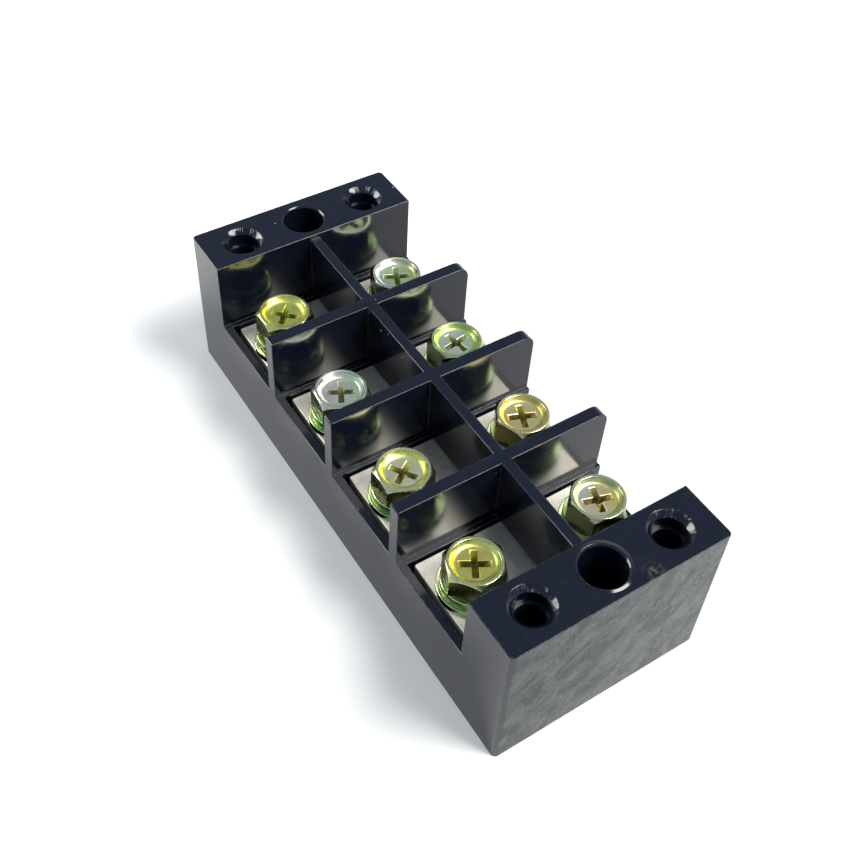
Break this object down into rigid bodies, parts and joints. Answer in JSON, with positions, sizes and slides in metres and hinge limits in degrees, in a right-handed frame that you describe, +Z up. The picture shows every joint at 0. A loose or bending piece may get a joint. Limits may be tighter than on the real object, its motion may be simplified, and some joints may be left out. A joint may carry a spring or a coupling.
{
  "type": "terminal block",
  "caption": "Barrier terminal block: black moulded housing with flat terminal bars, cross-recessed hexagon screws with captive washers, and end blocks with fixing holes.",
  "frame": {"origin": "middle of the base underside", "axes": "+X along the block, +Z up, away from the surface it is screwed to; the front long side faces -Y"},
  "size_m": [0.1054, 0.042, 0.0306],
  "materials": {
    "housing_plastic": "glossy black moulded thermoset",
    "tinned_bar": "tin plated, grainy satin",
    "yellow_zinc": "zinc plated, yellow passivated, bright",
    "spring_washer_zinc": "zinc plated, yellow-green passivated",
    "flat_washer_zinc": "zinc plated, yellow-green passivated"
  },
  "bodies": {
    "block": {"housing": "housing_plastic", "terminal_bar_1": "tinned_bar", "terminal_bar_2": "tinned_bar", "terminal_bar_3": "tinned_bar", "terminal_bar_4": "tinned_bar"},
    "washers_front_1": {"spring_washer_front_1": "spring_washer_zinc", "flat_washer_front_1": "flat_washer_zinc"},
    "screw_front_1": {"screw_front_1": "yellow_zinc"},
    "washers_front_2": {"spring_washer_front_2": "spring_washer_zinc", "flat_washer_front_2": "flat_washer_zinc"},
    "screw_front_2": {"screw_front_2": "yellow_zinc"},
    "washers_front_3": {"spring_washer_front_3": "spring_washer_zinc", "flat_washer_front_3": "flat_washer_zinc"},
    "screw_front_3": {"screw_front_3": "yellow_zinc"},
    "washers_front_4": {"spring_washer_front_4": "spring_washer_zinc", "flat_washer_front_4": "flat_washer_zinc"},
    "screw_front_4": {"screw_front_4": "yellow_zinc"},
    "washers_rear_1": {"spring_washer_rear_1": "spring_washer_zinc", "flat_washer_rear_1": "flat_washer_zinc"},
    "screw_rear_1": {"screw_rear_1": "yellow_zinc"},
    "washers_rear_2": {"spring_washer_rear_2": "spring_washer_zinc", "flat_washer_rear_2": "flat_washer_zinc"},
    "screw_rear_2": {"screw_rear_2": "yellow_zinc"},
    "washers_rear_3": {"spring_washer_rear_3": "spring_washer_zinc", "flat_washer_rear_3": "flat_washer_zinc"},
    "screw_rear_3": {"screw_rear_3": "yellow_zinc"},
    "washers_rear_4": {"spring_washer_rear_4": "spring_washer_zinc", "flat_washer_rear_4": "flat_washer_zinc"},
    "screw_rear_4": {"screw_rear_4": "yellow_zinc"}
  },
  "joints": [
    {"name": "screw_front_1_lift", "type": "slide", "parent": "block", "child": "washers_front_1", "axis": [0, 0, 1], "range_m": [0, 0.0036]},
    {"name": "screw_front_1_turn", "type": "hinge", "parent": "washers_front_1", "child": "screw_front_1", "pos_m": [-0.032, -0.0124, 0.018], "axis": [0, 0, 1], "range_deg": [0, 1296]},
    {"name": "screw_front_2_lift", "type": "slide", "parent": "block", "child": "washers_front_2", "axis": [0, 0, 1], "range_m": [0, 0.005]},
    {"name": "screw_front_2_turn", "type": "hinge", "parent": "washers_front_2", "child": "screw_front_2", "pos_m": [-0.0106, -0.0124, 0.018], "axis": [0, 0, 1], "range_deg": [0, 1800]},
    {"name": "screw_front_3_lift", "type": "slide", "parent": "block", "child": "washers_front_3", "axis": [0, 0, 1], "range_m": [0, 0.005]},
    {"name": "screw_front_3_turn", "type": "hinge", "parent": "washers_front_3", "child": "screw_front_3", "pos_m": [0.0106, -0.0124, 0.018], "axis": [0, 0, 1], "range_deg": [0, 1800]},
    {"name": "screw_front_4_lift", "type": "slide", "parent": "block", "child": "washers_front_4", "axis": [0, 0, 1], "range_m": [0, 0.005]},
    {"name": "screw_front_4_turn", "type": "hinge", "parent": "washers_front_4", "child": "screw_front_4", "pos_m": [0.032, -0.0124, 0.018], "axis": [0, 0, 1], "range_deg": [0, 1800]},
    {"name": "screw_rear_1_lift", "type": "slide", "parent": "block", "child": "washers_rear_1", "axis": [0, 0, 1], "range_m": [0, 0.005]},
    {"name": "screw_rear_1_turn", "type": "hinge", "parent": "washers_rear_1", "child": "screw_rear_1", "pos_m": [-0.032, 0.0124, 0.018], "axis": [0, 0, 1], "range_deg": [0, 1800]},
    {"name": "screw_rear_2_lift", "type": "slide", "parent": "block", "child": "washers_rear_2", "axis": [0, 0, 1], "range_m": [0, 0.005]},
    {"name": "screw_rear_2_turn", "type": "hinge", "parent": "washers_rear_2", "child": "screw_rear_2", "pos_m": [-0.0106, 0.0124, 0.018], "axis": [0, 0, 1], "range_deg": [0, 1800]},
    {"name": "screw_rear_3_lift", "type": "slide", "parent": "block", "child": "washers_rear_3", "axis": [0, 0, 1], "range_m": [0, 0.005]},
    {"name": "screw_rear_3_turn", "type": "hinge", "parent": "washers_rear_3", "child": "screw_rear_3", "pos_m": [0.0106, 0.0124, 0.018], "axis": [0, 0, 1], "range_deg": [0, 1800]},
    {"name": "screw_rear_4_lift", "type": "slide", "parent": "block", "child": "washers_rear_4", "axis": [0, 0, 1], "range_m": [0, 0.005]},
    {"name": "screw_rear_4_turn", "type": "hinge", "parent": "washers_rear_4", "child": "screw_rear_4", "pos_m": [0.032, 0.0124, 0.018], "axis": [0, 0, 1], "range_deg": [0, 1800]}
  ],
  "couplings": [
    {"joint": "screw_front_1_turn", "follows": "screw_front_1_lift", "rad_per_m": 6283.2},
    {"joint": "screw_front_2_turn", "follows": "screw_front_2_lift", "rad_per_m": 6283.2},
    {"joint": "screw_front_3_turn", "follows": "screw_front_3_lift", "rad_per_m": 6283.2},
    {"joint": "screw_front_4_turn", "follows": "screw_front_4_lift", "rad_per_m": 6283.2},
    {"joint": "screw_rear_1_turn", "follows": "screw_rear_1_lift", "rad_per_m": 6283.2},
    {"joint": "screw_rear_2_turn", "follows": "screw_rear_2_lift", "rad_per_m": 6283.2},
    {"joint": "screw_rear_3_turn", "follows": "screw_rear_3_lift", "rad_per_m": 6283.2},
    {"joint": "screw_rear_4_turn", "follows": "screw_rear_4_lift", "rad_per_m": 6283.2}
  ]
}
